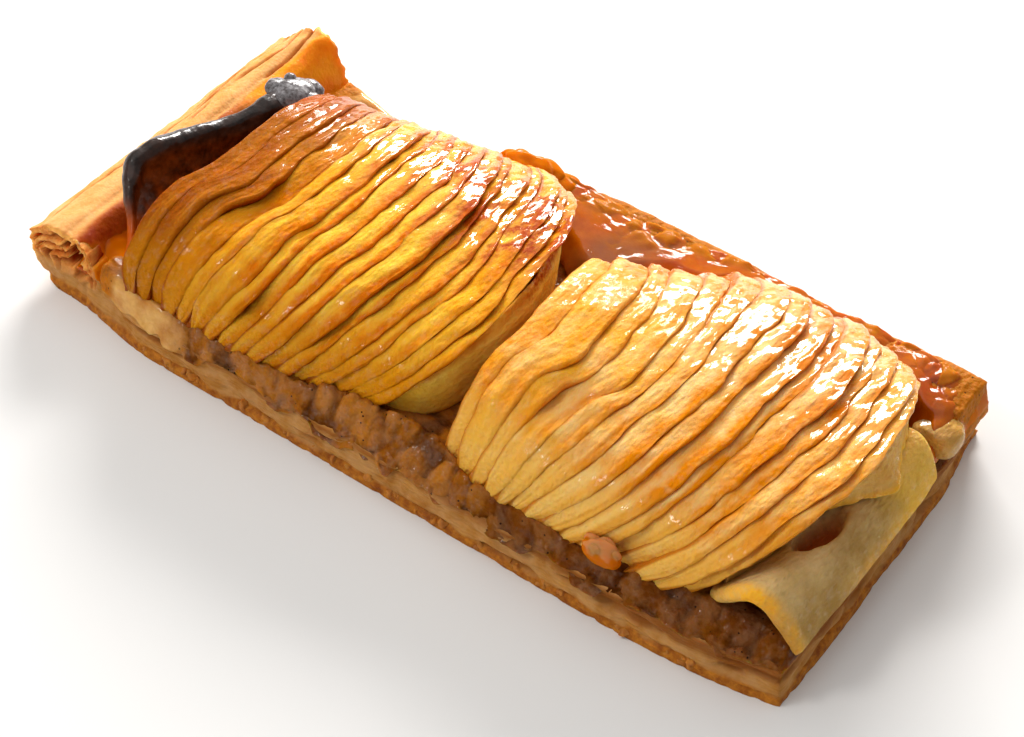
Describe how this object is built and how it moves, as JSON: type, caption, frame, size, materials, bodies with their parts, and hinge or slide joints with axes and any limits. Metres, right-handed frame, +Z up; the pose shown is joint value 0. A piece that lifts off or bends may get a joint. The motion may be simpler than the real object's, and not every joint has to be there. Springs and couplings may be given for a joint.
{
  "type": "apple puff pastry slice",
  "caption": "Oblong slice of baked apple tart: a flat puff pastry slab with one raised border, a layer of compote and two fanned half apples of thin glazed slices.",
  "frame": {"origin": "middle of the underside of the slice's bounding box, on the surface it rests on", "axes": "+X along the slab from the raised border to the cut end, +Y from the front cut to the back cut, +Z up out of the fruit"},
  "size_m": [0.191, 0.0856, 0.0333],
  "materials": {
    "puff_pastry": "baked flaky pastry, browned outside and pale where cut",
    "apple_compote": "moist brown apple compote, part set to amber jelly",
    "golden_apple": "glazed baked apple, golden with caramelised edges",
    "pale_apple": "glazed baked apple, pale with orange brown edges",
    "burnt_apple": "apple slice burnt black, glossy along its edge",
    "amber_jelly": "set amber jelly, clear and wet"
  },
  "bodies": {
    "root": {"puff_pastry": "puff_pastry", "apple_compote": "apple_compote", "apple_slice_left_01": "golden_apple", "apple_slice_left_02": "golden_apple", "apple_slice_left_03": "golden_apple", "apple_slice_left_04": "golden_apple", "apple_slice_left_05": "golden_apple", "apple_slice_left_06": "golden_apple", "apple_slice_left_07": "golden_apple", "apple_slice_left_08": "golden_apple", "apple_slice_left_09": "golden_apple", "apple_slice_left_10": "golden_apple", "apple_slice_left_11": "golden_apple", "apple_slice_left_12": "golden_apple", "apple_slice_left_13": "golden_apple", "apple_slice_left_14": "golden_apple", "apple_slice_left_15": "golden_apple", "apple_slice_left_16": "golden_apple", "apple_slice_left_17": "golden_apple", "apple_end_piece_left": "golden_apple", "apple_slice_right_01": "pale_apple", "apple_slice_right_02": "pale_apple", "apple_slice_right_03": "pale_apple", "apple_slice_right_04": "pale_apple", "apple_slice_right_05": "pale_apple", "apple_slice_right_06": "pale_apple", "apple_slice_right_07": "pale_apple", "apple_slice_right_08": "pale_apple", "apple_slice_right_09": "pale_apple", "apple_slice_right_10": "pale_apple", "apple_slice_right_11": "pale_apple", "apple_slice_right_12": "pale_apple", "apple_slice_right_13": "pale_apple", "apple_slice_right_14": "pale_apple", "apple_slice_right_15": "pale_apple", "apple_slice_burnt": "burnt_apple", "apple_slice_torn": "pale_apple", "apple_slice_arched": "pale_apple", "apple_chunk": "pale_apple", "jelly_lump": "amber_jelly"}
  },
  "joints": []
}
